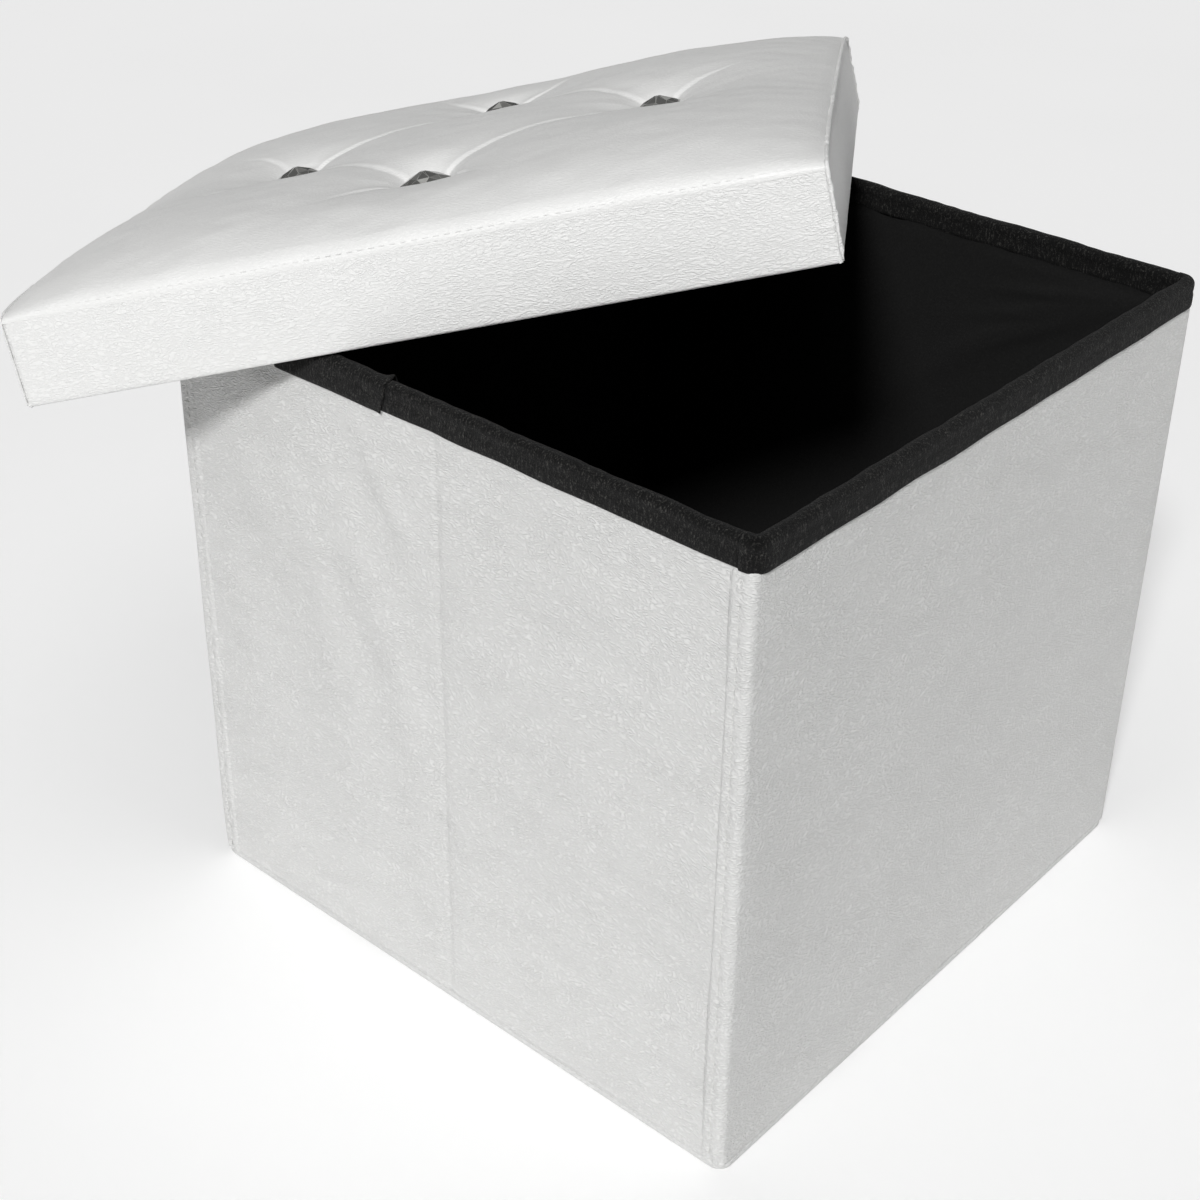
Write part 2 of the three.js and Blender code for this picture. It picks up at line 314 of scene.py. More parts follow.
def metal_material(name):
    n = Nodes(name)
    scratches = n.noise(n.position((1, 1, 6)), 900, 3.0)
    n.roughness(scratches, 0.15, 0.3)
    n.link(n.mix(scratches, (0.55, 0.55, 0.57, 1), (0.72, 0.72, 0.74, 1)), "Base Color")
    n.set(Metallic=1.0)
    return n.material


WHITE = (0.76, 0.76, 0.75, 1)
# Painted light: the lid's leather is a lighter copy of the walls' leather, so the lid shows brighter than
# the walls.
LID_PAINTED_LIGHTER_WHITE = (0.86, 0.86, 0.85, 1)
leather = leather_material("leather_grain", WHITE, depth=1.4)
black_weave = woven_material("binding_weave", (0.0016, 0.0016, 0.0016, 1), (0.075, 0.073, 0.068, 1), 0.0006)
black_felt = felt_material("lining_felt", (0.009, 0.009, 0.009, 1), (0.030, 0.030, 0.029, 1))
raw_board = board_material("raw_board")
thread = leather_material("white_thread", (0.80, 0.80, 0.78, 1), stretch=(1, 1, 1), depth=0.4)
# Painted reflections: the stones' facets share out dark, middle and bright tones of one glass.
crystal_painted_reflections = [
    crystal_material("crystal_painted_dark_reflection", 0.13, 0.20),
    crystal_material("crystal_painted_middle_reflection", 0.22, 0.34),
    crystal_material("crystal_painted_bright_reflection", 0.5, 0.8),
]
nickel = metal_material("nickel")

# ---- box: leather ----
# A wall is drawn in its own plan: s runs along the wall and out is the distance past its leather face.
WALL_TURNS = {"front": 0, "right": 90, "back": 180, "left": 270}


def stand(side, s, out, z):
    """Points (s, out, z) of the front wall's plan, turned onto a side of the box."""
    a = math.radians(WALL_TURNS[side])
    x, y = s, -(HALF + out)
    return np.stack([x * math.cos(a) - y * math.sin(a), x * math.sin(a) + y * math.cos(a), z], -1)


def wall_heights(count):
    """Heights up a wall and how far each is drawn in, for a lower edge that is rolled inwards."""
    turn = np.linspace(0, math.pi / 2, 5)[:-1][::-1]
    radius = 0.8 * MM
    low = WALL_BOTTOM + radius * (1 - np.sin(turn))
    inward = radius * (1 - np.cos(turn))
    up = np.linspace(WALL_BOTTOM + radius, LEATHER_TOP, count)
    return np.concatenate([low, up]), np.concatenate([inward, np.zeros(count)])


def side_wall_skin(side, seed):
    """The leather of a folding side wall; both ends turn in."""
    end_turn = 3.4 * MM
    edge = np.array([0.0, 0.15, 0.45, 1.0])
    s = beside_fold(SIDE_START, 105, 0.9 * MM)
    inward = np.concatenate([end_turn * edge[::-1], np.zeros(len(s) - 2), end_turn * edge])
    s = np.concatenate([np.full(4, s[0]), s[1:-1], np.full(4, s[-1])])
    z, curl = wall_heights(130)
    grid_s, grid_z = np.meshgrid(s, z)
    depth = folded_relief(side, seed, grid_s, grid_z)
    depth -= inward + curl[:, None]
    points = stand(side, grid_s, depth, grid_z)
    return sheet(side + "_leather_face", points, leather, LEATHER_SHEET)


def plain_relief(seed, s, z):
    """A whole wall's slight waviness, which dies out under the binding."""
    height = 0.35 * MM
    field = waves(s, z, seed, 7, 0.16, height * 3) + height * 0.6
    return np.maximum(field, -0.2 * MM) * (1 - near_rim(z, 12 * MM))


def folded_relief(side, seed, s, z):
    """A side wall's leather: a pressed crease down its middle, and soft folds on its back panel."""
    q = s if side == "left" else -s
    crease_depth = 0.85 * MM
    folds = [
        (-125, 262, 112, 62, 17, 2.6),
        (-88, 245, 108, 80, 16, 2.5),
        (-52, 240, 114, 78, 15, 2.5),
        (-30, 285, 122, 36, 8, 1.6),
        (-138, 140, 94, 110, 20, 1.5),
        (-66, 125, 97, 100, 20, 1.3),
        (-22, 160, 99, 80, 11, 0.7),
        (90, 180, 86, 110, 26, 0.5),
    ]
    field = waves(q, z, seed, 6, 0.12, 0.8 * MM) + 0.3 * MM
    field = field + bump_field(q, z, folds)
    field = np.maximum(field, -0.1 * MM) * (1 - near_rim(z, 14 * MM))
    wander = q - waves(z, z * 0, seed + 1, 5, 0.06, 0.5 * MM)
    crease = bell(wander, np.where(wander < 0, 0.7 * MM, 3.0 * MM))
    return field * (1 - bell(q, 9 * MM)) - crease_depth * crease


def beside_fold(reach, count, clear):
    """Places from -reach to reach, closer together by the fold, with none nearer to it than clear.
    The one stretch across the fold then stays straight between the two folded panels."""
    t = np.linspace(0, 1, count)
    half_way = clear + (reach - clear) * (0.35 * t + 0.65 * t ** 3)
    return np.concatenate([-half_way[::-1], half_way])


def wrapped_plan():
    """Plan of a whole wall's leather: wrap, corner, wall, corner, wrap. Rows are x, y, outward x and y."""
    r = 4.2 * MM
    edge = -HALF + WRAP_WIDTH
    skived = 2.6 * MM                  # the wrap's edge is pared down over this width
    rows = []
    for t in np.linspace(0, 1, 6)[:-1]:
        rows.append((-WRAP_FACE + 1.2 * MM * (1 - smoothstep(t)), edge - skived * t, -1, 0))
    rows += [(-WRAP_FACE, y, -1, 0) for y in np.linspace(edge - skived, -HALF + r, 12)]
    for t in np.linspace(0, math.pi / 2, 9)[1:]:
        c, d = math.cos(t), math.sin(t)
        rows.append((-WRAP_FACE + r * (1 - c), -HALF + r * (1 - d), -c, -d))
    half_wall = [(x, -HALF, 0, -1) for x in np.linspace(-WRAP_FACE + r, 0, 50)[1:]]
    rows = rows + half_wall
    return np.array(rows + [(-x, y, -ox, oy) for x, y, ox, oy in rows[-2::-1]])


def sewn_puckers(seed, x, in_from_corner, z):
    """Relief of both wraps: a sunk seam, and puckers beside it that grow towards the seam's ends."""
    seam = bell(in_from_corner - CORNER_SEAM, 1.0 * MM)
    near_seam = bell(in_from_corner - 6.8 * MM, 2.3 * MM)
    ends = 0.45 + 1.1 * np.exp(-(z - WALL_BOTTOM) / (30 * MM))
    ends = ends + 0.6 * np.exp(-(LEATHER_TOP - z) / (14 * MM))
    relief = np.zeros_like(x)
    for sign in (-1, 1):
        pucker = waves(z, in_from_corner, seed + 3 * sign, 9, 0.0042, 1.9 * MM)
        relief += (np.sign(x) == sign) * (pucker * near_seam * ends - 0.3 * MM * seam)
    return relief


def wrapped_skin(name, turn, seed, body, node):
    """A whole wall's leather in one sheet, carried round both corners and sewn to the side walls."""
    plan = wrapped_plan()
    z, curl = wall_heights(270)
    x, grid_z = np.meshgrid(plan[:, 0], z)
    y = np.broadcast_to(plan[:, 1], x.shape)
    ox, oy = plan[:, 2], plan[:, 3]
    on_wall = smoothstep((HALF - np.abs(x)) / (14 * MM))
    on_wrap = np.abs(ox) > 0.98
    depth = plain_relief(seed, x, grid_z) * on_wall
    depth = depth + on_wrap * sewn_puckers(seed, x, y + HALF, grid_z)
    # The top edge of the corners and wraps is drawn in, to sit inside the binding.
    tucked = near_rim(grid_z, 4 * MM)
    depth = depth * (1 - tucked) - 0.7 * MM * tucked * np.abs(ox)
    # The corners are worn in at the foot, and waver slightly all the way up.
    corner_bend = 1 - np.clip(np.abs(np.abs(ox) - 0.7) / 0.45, 0, 1)
    depth = depth - 1.3 * MM * corner_bend * np.exp(-(grid_z - WALL_BOTTOM) / (7 * MM))
    depth = depth + 0.15 * MM * corner_bend * np.sin(grid_z / (17 * MM) + seed)
    depth = depth - curl[:, None]
    points = np.stack([turn * (x + ox * depth), turn * (y + oy * depth), grid_z], -1)
    skin = sheet(name, points, leather, LEATHER_SHEET)
    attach(skin, body)
    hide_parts(node)


def make_leather():
    wrapped_skin("front_leather_face", 1, 3, "base_and_front_wall", "front_leather")
    wrapped_skin("back_leather_face", -1, 5, "back_wall", "back_leather")
    for side, seed in (("left", 11), ("right", 17)):
        skin = side_wall_skin(side, seed)
        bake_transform(skin)
        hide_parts(side + "_front_leather", side + "_back_leather")


def stitch(centre, along, up, length, radius, base):
    """One stitch: a small bowed capsule. Its faces count its points from base."""
    sides, rings = 6, 5
    across = np.cross(along, up)
    points, faces = [], []
    for t in np.linspace(-1, 1, rings):
        width = radius * math.sqrt(max(0.06, 1 - t ** 4))
        lift = radius * 0.25 * (1 - t * t)
        for k in range(sides):
            a = 2 * math.pi * k / sides
            offset = across * math.cos(a) * width + up * (math.sin(a) * width * 0.7 + lift)
            points.append(centre + along * t * length / 2 + offset)
    for r in range(rings - 1):
        for k in range(sides):
            a, b = base + r * sides + k, base + r * sides + (k + 1) % sides
            faces.append((a, a + sides, b + sides, b))
    faces.append(tuple(base + k for k in range(sides)))
    faces.append(tuple(base + (rings - 1) * sides + k for k in range(sides))[::-1])
    return points, faces


def stitch_line(name, points, normals, length, pitch, radius, material, body):
    """A row of sunken thread stitches along a line, as one mesh."""
    run = lengths_along(points)
    vertices, faces = [], []
    at = pitch / 2
    while at + length / 2 < run[-1]:
        centre = at_length(at, run, points)
        along = at_length(at + length / 2, run, points) - centre
        along /= np.linalg.norm(along)
        up = at_length(at, run, normals)
        up = up - along * (up @ along)
        up /= np.linalg.norm(up)
        more_points, more_faces = stitch(centre, along, up, length, radius, len(vertices))
        vertices += more_points
        faces += more_faces
        at += pitch
    obj = mesh_object(name, vertices, faces, material)
    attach(obj, body)


def make_corner_stitches():
    z = np.linspace(WALL_BOTTOM + 6 * MM, BINDING_BOTTOM - 3 * MM, 60)
    for wall, y, body in (("front", -1, "base_and_front_wall"), ("back", 1, "back_wall")):
        for side, x in (("left", -1), ("right", 1)):
            in_x = np.full_like(z, x * (WRAP_FACE - 0.2 * MM))
            in_y = np.full_like(z, y * (HALF - CORNER_SEAM))
            stitch_line(
                "corner_stitches_" + wall + "_" + side, np.stack([in_x, in_y, z], -1),
                np.tile([x, 0.0, 0.0], (len(z), 1)), length=2.4 * MM, pitch=4.2 * MM,
                radius=0.26 * MM, material=thread, body=body,
            )


# ---- box: binding ----
BINDING_MIDDLE = BINDING_OUT - BINDING_THICK / 2     # the middle of the rim, from the box's middle
RIM_CORNER = 4.0 * MM


def binding_section(extra=0.0):
    """Section of the folded tape as (across, height): a rounded rim roll over two flat flanges."""
    half = BINDING_THICK / 2 + 0.1 * MM + extra
    top = RIM + extra
    groove = top - half - 3.4 * MM
    points = [(half - 0.5 * MM, BINDING_BOTTOM - extra), (half - 0.1 * MM, BINDING_BOTTOM + 0.7 * MM)]
    points += [(half - 0.1 * MM, z) for z in np.linspace(BINDING_BOTTOM + 3 * MM, groove - 1.6 * MM, 3)]
    points += [(half - 0.45 * MM, groove), (half - 0.1 * MM, groove + 1.8 * MM)]
    for t in np.linspace(-0.25, math.pi + 0.25, 17):
        points.append((half * math.cos(t), top - half + half * math.sin(t)))
    inner = -half + 0.9 * MM
    points += [(inner, z) for z in np.linspace(groove + 1 * MM, BINDING_BOTTOM + 3 * MM, 4)]
    points += [(inner + 0.4 * MM, BINDING_BOTTOM)]
    return np.array(points)


def swept_binding(name, path, outwards, seed, extra=0.0, ragged=0.0):
    """The tape's section carried along a plan path; outwards is the unit direction out of the box."""
    section = binding_section(extra)
    run = lengths_along(path)
    along, place = np.meshgrid(run, np.arange(len(section)), indexing="ij")
    soft = waves(along, place * 2 * MM, seed, 9, 0.04, 0.8 * MM)
    soft += waves(along, place * 1 * MM, seed + 1, 7, 0.012, 0.3 * MM)
    grow = soft * np.clip(np.sin(np.pi * place / (len(section) - 1)) * 1.4, 0.2, 1)
    across, level = section.T
    middle_z = RIM - BINDING_THICK / 2
    up = np.clip(level - middle_z, 0, None) / (BINDING_THICK / 2)
    reach = across + np.sign(across) * grow * (1 - up * 0.7)
    height = level + grow * up
    low = level < BINDING_BOTTOM + 2 * MM
    height = height + waves(along, place * 0, seed + 2, 6, 0.05, 0.7 * MM) * low
    shift = np.zeros_like(along)
    if ragged:
        # The cut end frays, slants back towards the flange, and lifts at the rim's inner shoulder.
        shoulder = 18
        near_end = bell(run[-1] - along, 4 * MM)
        fray = waves(place * 1.3 * MM, place * 0, seed + 5, 9, 0.006, 2 * ragged)
        from_bottom = np.clip(place / 6, 0, 1)
        shift = near_end * (fray * from_bottom - 4 * ragged * (1 - from_bottom) ** 0.7)
        height = height + near_end * 2.4 * ragged * bell(place - shoulder, 2.5)
        reach = reach + near_end * np.sign(across) * 0.5 * MM
    forward = np.gradient(path, axis=0)
    forward /= np.linalg.norm(forward, axis=1)[:, None]
    points = np.zeros((len(path), len(section), 3))
    for k in (0, 1):
        points[..., k] = path[:, k, None] + outwards[:, k, None] * reach + forward[:, k, None] * shift
    points[..., 2] = height
    return sheet(name, points[:, ::-1], black_weave, 0.6 * MM)


def corner_path():
    """Plan of the rim from one side panel's start, round a corner, along the whole wall and round."""
    m, r = BINDING_MIDDLE, RIM_CORNER
    end = -SIDE_START + 2.4 * MM         # just past the start of the side wall's own tape
    path, out = [(-m, end), (-m, end - 1.2 * MM)], [(-1, 0)] * 2
    for t in np.linspace(0, math.pi / 2, 9):
        path.append((-m + r - r * math.cos(t), -m + r - r * math.sin(t)))
        out.append((-math.cos(t), -math.sin(t)))
    other_path = [(-x, y) for x, y in path[::-1]]
    other_out = [(-x, y) for x, y in out[::-1]]
    straight = np.linspace(-m + r, m - r, 150)[1:-1]
    path += [(x, -m) for x in straight] + other_path
    out += [(0, -1)] * len(straight) + other_out
    return np.array(path), np.array(out)


def make_bindings():
    path, out = corner_path()
    for side, turn, seed, body in (("front", 1, 21, "base_and_front_wall"), ("back", -1, 24, "back_wall")):
        tape = swept_binding("binding_" + side + "_tape", turn * path, turn * out, seed, 0.3 * MM)
        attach(tape, body)
        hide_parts(side + "_binding")
    side_y = beside_fold(SIDE_START - 0.2 * MM, 90, 0.45 * MM)
    for side, x in (("left", -1), ("right", 1)):
        kink = -0.5 * MM * bell(side_y, 7 * MM)
        path = np.stack([x * (BINDING_MIDDLE + kink), side_y], -1)
        out = np.tile([x, 0.0], (len(path), 1))
        if side == "left":
            path, out = path[::-1], out[::-1]
        tape = swept_binding("binding_" + side + "_tape", path, out, 31 if x < 0 else 37)
        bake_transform(tape)
        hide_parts(side + "_front_binding", side + "_back_binding")
    # The tape's last stretch overlaps its start, just behind the left fold.
    lap_y = np.linspace(102 * MM, 27 * MM, 70)
    lap_path = np.stack([np.full_like(lap_y, -BINDING_MIDDLE), lap_y], -1)
    lap_out = np.tile([-1.0, 0.0], (len(lap_y), 1))
    lap = swept_binding("binding_overlap", lap_path, lap_out, 43, extra=0.7 * MM, ragged=0.9 * MM)
    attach(lap, "left_back_panel")


# ---- box: lining and base ----
def make_linings():
    z = np.linspace(WALL_BOTTOM + 0.3 * MM, LINING_TOP, 230)
    right_folds = [
        (-108, 314, 168, 34, 3.4, 1.9),
        (-102, 303, 161, 38, 3.8, 2.1),
        (-94, 289, 152, 42, 4.4, 2.2),
        (-60, 268, 140, 60, 8, 1.6),
        (40, 250, 80, 90, 14, 0.8),
    ]
    pieces = {
        "front": ("base_and_front_wall",), "back": ("back_wall",),
        "left": ("left_front_panel", "left_back_panel"),
        "right": ("right_front_panel", "right_back_panel"),
    }
    for index, (side, bodies) in enumerate(pieces.items()):
        folding = len(bodies) == 2
        s = np.linspace(-1, 1, 130) * (LINING_FACE - 0.3 * MM)
        if folding:
            s = beside_fold(SIDE_START, 75, 0.25 * MM)
        grid_s, grid_z = np.meshgrid(s, z)
        inward = waves(grid_s, grid_z, 51 + index, 8, 0.09, 1.0 * MM) + 0.35 * MM
        inward += bump_field(grid_s, grid_z, right_folds if side == "right" else [])
        inward = np.clip(inward, 0.05 * MM, 2.3 * MM) * (1 - near_rim(grid_z, 5 * MM))
        if folding:
            inward = inward * (1 - bell(grid_s, 8 * MM))
        else:
            inward[:, [0, -1]] = 1.5 * MM
        grid = stand(side, grid_s, LINING_FACE - HALF - inward, grid_z)
        cloth = sheet(side + "_lining_cloth", grid[:, ::-1], black_felt, 0.3 * MM)
        if folding:
            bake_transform(cloth)
            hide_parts(side + "_front_lining", side + "_back_lining")
        else:
            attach(cloth, bodies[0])
            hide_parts(side + "_lining")


def make_base():
    """A leather hem round the base, and a lightly dented floor cloth inside."""
    side = HALF + 0.1 * MM
    r = 7 * MM
    plan = []
    for cx, cy, a0 in ((1, -1, -90), (1, 1, 0), (-1, 1, 90), (-1, -1, 180)):
        for a in np.radians(np.linspace(a0, a0 + 90, 7)):
            plan.append((cx * (side - r) + r * math.cos(a), cy * (side - r) + r * math.sin(a)))
    plan = np.array(plan + plan[:1])
    # The hem's section, as millimetres inwards and up.
    section = [(-3.0, 0.05), (-1.2, 0.1), (-0.4, 0.5), (0, 1.2), (0, 3.5), (-0.2, 4.0), (-1.4, 4.15)]
    rows = []
    for inset, z in section:
        scale = (side + inset * MM) / side
        rows.append(np.column_stack([plan * scale, np.full(len(plan), z * MM)]))
    hem = sheet("base_hem", np.array(rows), leather)
    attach(hem, "base_and_front_wall")

    lo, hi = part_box("base_lining")
    s = np.linspace(lo.x + 0.4 * MM, hi.x - 0.4 * MM, 90)
    x, y = np.meshgrid(s, s)
    z = hi.z + waves(x, y, 71, 8, 0.11, 0.35 * MM)
    floor_cloth = sheet("floor_cloth", np.stack([x, y, z], -1), black_felt, 0.4 * MM)
    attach(floor_cloth, "base_and_front_wall")
    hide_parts("base_lining")


# ---- lid: its own frame, found from the CAD boards ----
def corners_of(node):
    found = np.array([v.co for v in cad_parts[node].data.vertices], float)
    return np.unique(np.round(found, 6), axis=0)


def lid_axes():
    """The lid's frame: +Z out of its top, +Y from its front band to its back band."""
    front, back = corners_of("lid_skirt_board_front"), corners_of("lid_skirt_board_back")
    _, axes = np.linalg.eigh(np.cov((front - front.mean(0)).T))
    thin, tall, long = axes[:, 0], axes[:, 1], axes[:, 2]
    z = tall * np.sign(tall[2])
    y = thin * np.sign(thin @ (back.mean(0) - front.mean(0)))
    x = np.cross(y, z)
    return np.column_stack([x, y, z]), (front.mean(0) + back.mean(0)) / 2


LID_TURN, lid_middle = lid_axes()


def lid_box(node):
    local = (corners_of(node) - lid_middle) @ LID_TURN
    return local.min(0), local.max(0)


lid_front_lo, lid_front_hi = lid_box("lid_leather_front")
LID_HALF = lid_box("lid_leather_back")[1][1]
LID_ORIGIN = lid_middle + LID_TURN @ np.array([0, 0, lid_front_lo[2]])
SEAM = lid_front_hi[2] - lid_front_lo[2]
CROWN = lid_box("lid_top_leather")[1][2] - lid_front_hi[2]
BUTTONS = {}
for button in ("left", "front", "right", "back"):
    low, high = lid_box("crystal_" + button)
    BUTTONS[button] = ((low + high) / 2)[:2]
BUTTON_REACH = float(BUTTONS["right"][0])
stone_lo, stone_hi = lid_box("crystal_right")
CRYSTAL_BASE = stone_lo[2] - lid_front_lo[2]
CRYSTAL_RADIUS = (stone_hi[0] - stone_lo[0]) / 2


def in_row(points):
    """Points of the lid's frame, origin at the middle of its lower edge, in the row frame."""
    return np.asarray(points) @ LID_TURN.T + LID_ORIGIN


# ---- lid: cushion ----
END_ARCH = 0.3          # how high the end panels' arched seams climb, as a share of the crown
COVER_CROWN = CROWN * 0.98
ROLL_SPREAD = 3.4       # powers of the curve of the front and back edges' soft roll
ROLL_ROUNDNESS = 0.48


def across_profile(v):
    """The crown from the left end to the right end."""
    return np.power(np.clip(1 - np.abs(v) ** 4.0, 0, 1), 0.62)


def along_profile(v):
    """The crown from the front to the back: a wide soft roll at each edge."""
    return np.power(np.clip(1 - np.abs(v) ** ROLL_SPREAD, 0, 1), ROLL_ROUNDNESS)


def cushion_base(x, y):
    """Height of the untufted cushion over the seam."""
    ends = END_ARCH + (1 - END_ARCH) * across_profile(x / LID_HALF)
    return COVER_CROWN * along_profile(y / LID_HALF) * ends


def end_arch(y):
    """Height over the seam of the arched top edge of an end panel."""
    return COVER_CROWN * END_ARCH * along_profile(y / LID_HALF)


def crease_lines():
    """The pleats: the square between the buttons, and its sides carried on towards the edges."""
    nodes = [np.array(BUTTONS[side]) for side in ("left", "front", "right", "back")]
    lines = [(nodes[i], nodes[(i + 1) % 4], 1.0) for i in range(4)]
    tail = 62 * MM
    for i, start in enumerate(nodes):
        for other in (nodes[(i + 1) % 4], nodes[(i - 1) % 4]):
            away = (start - other) / np.linalg.norm(start - other)
            lines.append((start, start + away * tail, 0.0))
    return lines


def dimples(x, y):
    """How far the buttons pull the cover down: a wide dish with a steep throat round each button."""
    pull = np.zeros_like(x)
    dishes = {"left": 7.2 * MM, "front": 4.2 * MM, "right": 6.8 * MM, "back": 8.4 * MM}
    pleat_depth = 2.6 * MM
    reach_x, reach_y, dish_shift = 60 * MM, 55 * MM, 18 * MM
    level = cushion_base(BUTTON_REACH, 0.0) - (CRYSTAL_BASE - SEAM) + 0.4 * MM
    for side, (bx, by) in BUTTONS.items():
        d = np.hypot(x - bx, y - by)
        throat = np.clip((d - CRYSTAL_RADIUS - 0.8 * MM) / (21 * MM), 0, None)
        rest = level - dishes[side] - pleat_depth
        pull = np.maximum(pull, rest * np.exp(-1.75 * throat ** 0.85))
    for side, (bx, by) in BUTTONS.items():
        dish = dishes[side]
        pull += dish * np.exp(-((x - bx) / reach_x) ** 2 - ((y - by + dish_shift) / reach_y) ** 2)
    return pull


def pleats(x, y):
    """The pleats sewn between the buttons: a shallow valley with a sharp fold along its middle."""
    pull = np.zeros_like(x)
    for index, (a, b, joined) in enumerate(crease_lines()):
        length = np.linalg.norm(b - a)
        along = (b - a) / length
        side = np.array([-along[1], along[0]])
        t = ((x - a[0]) * along[0] + (y - a[1]) * along[1]) / length
        inside = np.clip(t, 0, 1)
        bow = 4.5 * MM * np.sin(np.pi * inside) * (1 if index % 2 else -1)
        s = (x - a[0]) * side[0] + (y - a[1]) * side[1] - bow
        if joined:
            strength = 0.5 + 0.5 * np.abs(2 * inside - 1) ** 1.5
        else:
            strength = (1 - inside) ** 0.9
        fade = bell((t - inside) * length, 3 * MM)
        valley = 2.6 * MM * bell(s, 14 * MM) + 1.0 * MM * np.exp(-np.abs(s) / (1.5 * MM))
        fold = 1.2 * MM * np.tanh(s / (0.8 * MM)) * np.exp(-np.abs(s) / (3.2 * MM))
        facing = 1 if side[1] > 0 else -1
        pull = np.maximum(pull, (valley - fold * facing) * strength * fade)
    return pull


def settled_cover(x, y, z):
    """Cloth simulation of the cover: held at its edges and buttons, pushed up by the foam."""
    rows, columns = x.shape
    points = np.stack([x, y, z], -1).reshape(-1, 3)
    cover = mesh_object("cover_for_simulation", points, grid_faces(rows, columns), None)
    held = cover.vertex_groups.new(name="held")
    edge = np.maximum(np.abs(points[:, 0]), np.abs(points[:, 1])) > LID_HALF - 7 * MM
    for bx, by in BUTTONS.values():
        edge |= np.hypot(points[:, 0] - bx, points[:, 1] - by) < CRYSTAL_RADIUS + 2 * MM
    held.add([int(i) for i in np.nonzero(edge)[0]], 1.0, "REPLACE")
    cloth = cover.modifiers.new("cloth", "CLOTH")
    settings = cloth.settings
    settings.quality = 6
    settings.mass = 0.35
    settings.tension_stiffness = settings.compression_stiffness = 28
    settings.shear_stiffness = 12
    settings.bending_stiffness = 1.2
    settings.vertex_group_mass = "held"
    settings.use_pressure = True
    settings.uniform_pressure_force = 4
    settings.effector_weights.gravity = 0
    cloth.point_cache.frame_start, cloth.point_cache.frame_end = 1, 20
    scene = bpy.context.scene
    for step in range(1, 21):
        scene.frame_set(step)
    settled = cover.evaluated_get(bpy.context.evaluated_depsgraph_get()).to_mesh()
    after = np.zeros(len(points) * 3)
    settled.vertices.foreach_get("co", after)
    after = after.reshape(rows, columns, 3)
    bpy.data.objects.remove(cover)
    scene.frame_set(1)
    move = after - np.stack([x, y, z], -1)
    far = np.linalg.norm(move, axis=-1, keepdims=True)
    cap = 3.5 * MM
    return move * np.minimum(1, cap / np.maximum(far, 1e-9))


def spread(field, count):
    """A coarse square grid of vectors resampled smoothly onto a finer one."""
    coarse, fine = np.linspace(0, 1, field.shape[0]), np.linspace(0, 1, count)
    out = np.zeros((count, count, 3))
    for k in range(3):
        half = np.array([np.interp(fine, coarse, line) for line in field[..., k]])
        out[..., k] = np.array([np.interp(fine, coarse, line) for line in half.T]).T
    return out


def blurred(field, passes):
    for _ in range(passes):
        inner = field[1:-1, 1:-1]
        around = field[:-2, 1:-1] + field[2:, 1:-1] + field[1:-1, :-2] + field[1:-1, 2:]
        field = field.copy()
        field[1:-1, 1:-1] = inner * 0.5 + around * 0.125
    return field


def edge_spaced(count):
    """Places from -1 to 1, evenly spread inside and closer together at the rounded edges."""
    t = np.linspace(-math.pi / 2, math.pi / 2, count)
    return 0.55 * np.sin(t) + 0.45 * np.sign(t) * (1 - np.cos(t) ** 1.6) ** 0.9


def closed_cushion(name, x, y, z, material):
    """The cover as one closed form: its border lapped over the bands, turned in and closed below."""
    def ring(grid, outward=0.0):
        padded = np.pad(grid, 1, mode="edge")
        padded[0], padded[-1] = padded[0] - outward, padded[-1] + outward
        return padded

    def side_ring(grid, outward=0.0):
        return ring(grid.T, outward).T

    lap = 0.08 * MM
    low = SEAM - 1.2 * MM
    x1, y1, z1 = side_ring(x, lap), ring(y, lap), np.pad(z, 1, mode="edge")
    edge = np.ones_like(z1, bool)
    edge[1:-1, 1:-1] = False
    z1 = np.where(edge, z1 - 0.9 * MM, z1)
    x1, y1, z1 = side_ring(x1, -0.05 * MM), ring(y1, -0.05 * MM), np.pad(z1, 1, mode="edge")
    z1[[0, -1]] -= 0.2 * MM
    z1[1:-1, [0, -1]] -= 0.2 * MM
    x2, y2 = side_ring(x1, -2.0 * MM), ring(y1, -2.0 * MM)
    z2 = np.pad(z1, 1, constant_values=low)
    rows, columns = z2.shape
    points = in_row(np.stack([x2, y2, z2], -1).reshape(-1, 3))
    faces = grid_faces(rows, columns)
    border = list(range(columns)) + [r * columns + columns - 1 for r in range(1, rows)]
    border += [(rows - 1) * columns + c for c in range(columns - 2, -1, -1)]
    border += [r * columns for r in range(rows - 2, 0, -1)]
    points = np.vstack([points, in_row([[0, 0, low]])])
    middle = len(points) - 1
    faces += [(middle, border[(i + 1) % len(border)], border[i]) for i in range(len(border))]
    return mesh_object(name, points, faces, material)


def tufted_cover(x, y):
    """Height of the buttoned cover, and a share that fades to 0 at its sewn border."""
    crown = COVER_CROWN * along_profile(y / LID_HALF) * across_profile(x / LID_HALF)
    rim = np.minimum(1, crown / (3 * MM))
    return SEAM + cushion_base(x, y) - dimples(x, y) * rim, rim


def make_cushion(material):
    count = 421
    line = edge_spaced(count) * LID_HALF
    x, y = np.meshgrid(line, line)
    z, rim = tufted_cover(x, y)
    coarse_line = edge_spaced(75) * LID_HALF
    cx, cy = np.meshgrid(coarse_line, coarse_line)
    move = settled_cover(cx, cy, tufted_cover(cx, cy)[0])
    move = blurred(spread(move, count), 3)
    x, y, z = x + move[..., 0], y + move[..., 1], z + move[..., 2]
    fine = waves(x, y, 81, 12, 0.06, 0.9 * MM) + waves(x, y, 83, 12, 0.02, 0.4 * MM)
    z = z - (pleats(x, y) - fine) * rim
    cushion = closed_cushion("lid_cushion", x, y, z, material)
    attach(cushion, "lid")
    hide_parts("lid_top_leather", "lid_foam")


